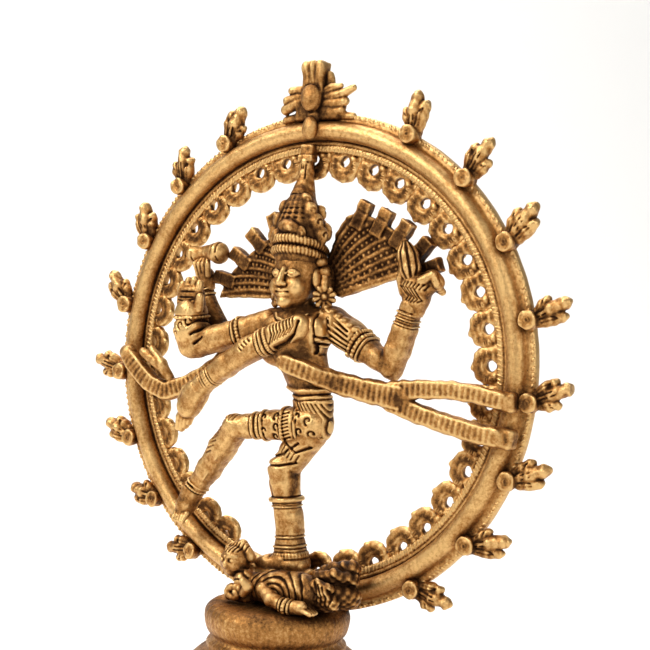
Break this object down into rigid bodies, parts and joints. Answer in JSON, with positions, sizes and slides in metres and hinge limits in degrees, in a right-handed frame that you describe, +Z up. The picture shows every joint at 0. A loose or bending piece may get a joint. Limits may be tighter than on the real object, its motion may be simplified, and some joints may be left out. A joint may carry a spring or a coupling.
{
  "type": "brass nataraja statue",
  "caption": "Cast brass dancing figure inside a ring of flames, standing on a dwarf on a round turned pedestal; a shelf or desk ornament.",
  "frame": {"origin": "centre of the pedestal's underside, on the surface it stands on", "axes": "+Z up, front of the figure along -Y, +X to the viewer's right"},
  "size_m": [0.1334, 0.056, 0.1553],
  "materials": {
    "polished_brass": "cast, rubbed bright on raised faces, brown patina in recesses",
    "worn_brass": "cast and engraved, satin, patina in the cuts",
    "dark_brass": "as cast, dark brown patina",
    "raw_brass": "as cast, hammered end"
  },
  "bodies": {
    "root": {"arm_front_left": "polished_brass", "arm_front_right": "worn_brass", "arm_rear_left": "polished_brass", "arm_rear_right": "dark_brass", "crest_strut": "worn_brass", "crown": "worn_brass", "drum": "worn_brass", "dwarf_arm": "worn_brass", "dwarf_body": "worn_brass", "dwarf_head": "worn_brass", "dwarf_legs": "dark_brass", "dwarf_snake": "worn_brass", "earring_left": "worn_brass", "earring_right": "worn_brass", "figure_tenon": "raw_brass", "finial": "polished_brass", "flame_01": "polished_brass", "flame_02": "polished_brass", "flame_03": "polished_brass", "flame_04": "polished_brass", "flame_05": "polished_brass", "flame_06": "polished_brass", "flame_07": "polished_brass", "flame_08": "polished_brass", "flame_09": "polished_brass", "flame_10": "polished_brass", "flame_11": "polished_brass", "flame_12": "polished_brass", "flame_13": "polished_brass", "flame_14": "polished_brass", "flame_15": "polished_brass", "flame_16": "polished_brass", "flame_bowl": "worn_brass", "foot_raised": "worn_brass", "foot_standing": "worn_brass", "hair_fan_left": "dark_brass", "hair_fan_right": "dark_brass", "hand_front_left": "worn_brass", "hand_front_right": "worn_brass", "hand_rear_left": "worn_brass", "hand_rear_right": "worn_brass", "head": "polished_brass", "leg_raised": "polished_brass", "leg_standing": "polished_brass", "pedestal": "polished_brass", "ring_frame": "polished_brass", "ring_fringe": "worn_brass", "ring_tenon": "raw_brass", "sash_left": "worn_brass", "sash_right": "worn_brass", "torso": "polished_brass"}
  },
  "joints": []
}
